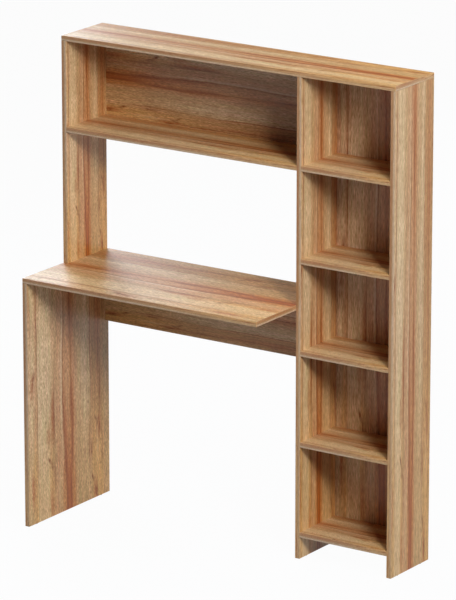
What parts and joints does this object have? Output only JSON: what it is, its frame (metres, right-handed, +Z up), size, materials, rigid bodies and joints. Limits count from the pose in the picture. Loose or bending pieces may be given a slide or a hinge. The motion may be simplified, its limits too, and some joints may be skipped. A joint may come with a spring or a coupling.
{
  "type": "student desk with hutch",
  "caption": "Writing desk with a full-depth left end panel, an open bookcase on its right that carries one end of the desktop, and a hutch shelf over the rear edge.",
  "frame": {"origin": "on the floor, under the middle of the whole desk's box", "axes": "+X to the user's right, where the bookcase stands; +Y to the rear; +Z up"},
  "size_m": [1.12, 0.4, 1.415],
  "materials": {
    "board_decor": "satin wood-decor melamine on chipboard, with a raw core on the edges that are hidden",
    "edge_decor": "satin plastic edge band in the same decor",
    "back_sheet": "thin fibreboard, printed with the decor in front and raw brown behind",
    "cam_zinc": "die-cast zinc",
    "fitting_steel": "bright zinc-plated steel",
    "dowel_beech": "raw turned beech",
    "glide_plastic": "moulded brown plastic"
  },
  "bodies": {
    "root": {"bookcase_back": "board_decor", "bookcase_back_screws": "fitting_steel", "bookcase_bottom": "board_decor", "bookcase_bottom_front_edge": "edge_decor", "bookcase_left_front_edge": "edge_decor", "bookcase_left_side": "board_decor", "bookcase_right_front_edge": "edge_decor", "bookcase_right_side": "board_decor", "bookcase_shelf_1": "board_decor", "bookcase_shelf_1_front_edge": "edge_decor", "bookcase_shelf_2": "board_decor", "bookcase_shelf_2_front_edge": "edge_decor", "bookcase_shelf_3": "board_decor", "bookcase_shelf_3_front_edge": "edge_decor", "bookcase_shelf_4": "board_decor", "bookcase_shelf_4_front_edge": "edge_decor", "cam_bolts": "fitting_steel", "cam_locks": "cam_zinc", "desktop": "board_decor", "desktop_front_edge": "edge_decor", "desktop_left_edge": "edge_decor", "desktop_right_edge": "edge_decor", "glide_nails": "fitting_steel", "glide_pads": "glide_plastic", "hutch_back": "back_sheet", "hutch_back_nails": "fitting_steel", "hutch_shelf": "board_decor", "hutch_shelf_front_edge": "edge_decor", "left_leg_front_edge": "edge_decor", "left_leg_panel": "board_decor", "left_upright": "board_decor", "left_upright_front_edge": "edge_decor", "modesty_lower_edge": "edge_decor", "modesty_panel": "board_decor", "top_panel": "board_decor", "top_panel_front_edge": "edge_decor", "top_panel_left_edge": "edge_decor", "top_panel_right_edge": "edge_decor", "wooden_dowels": "dowel_beech"}
  },
  "joints": []
}
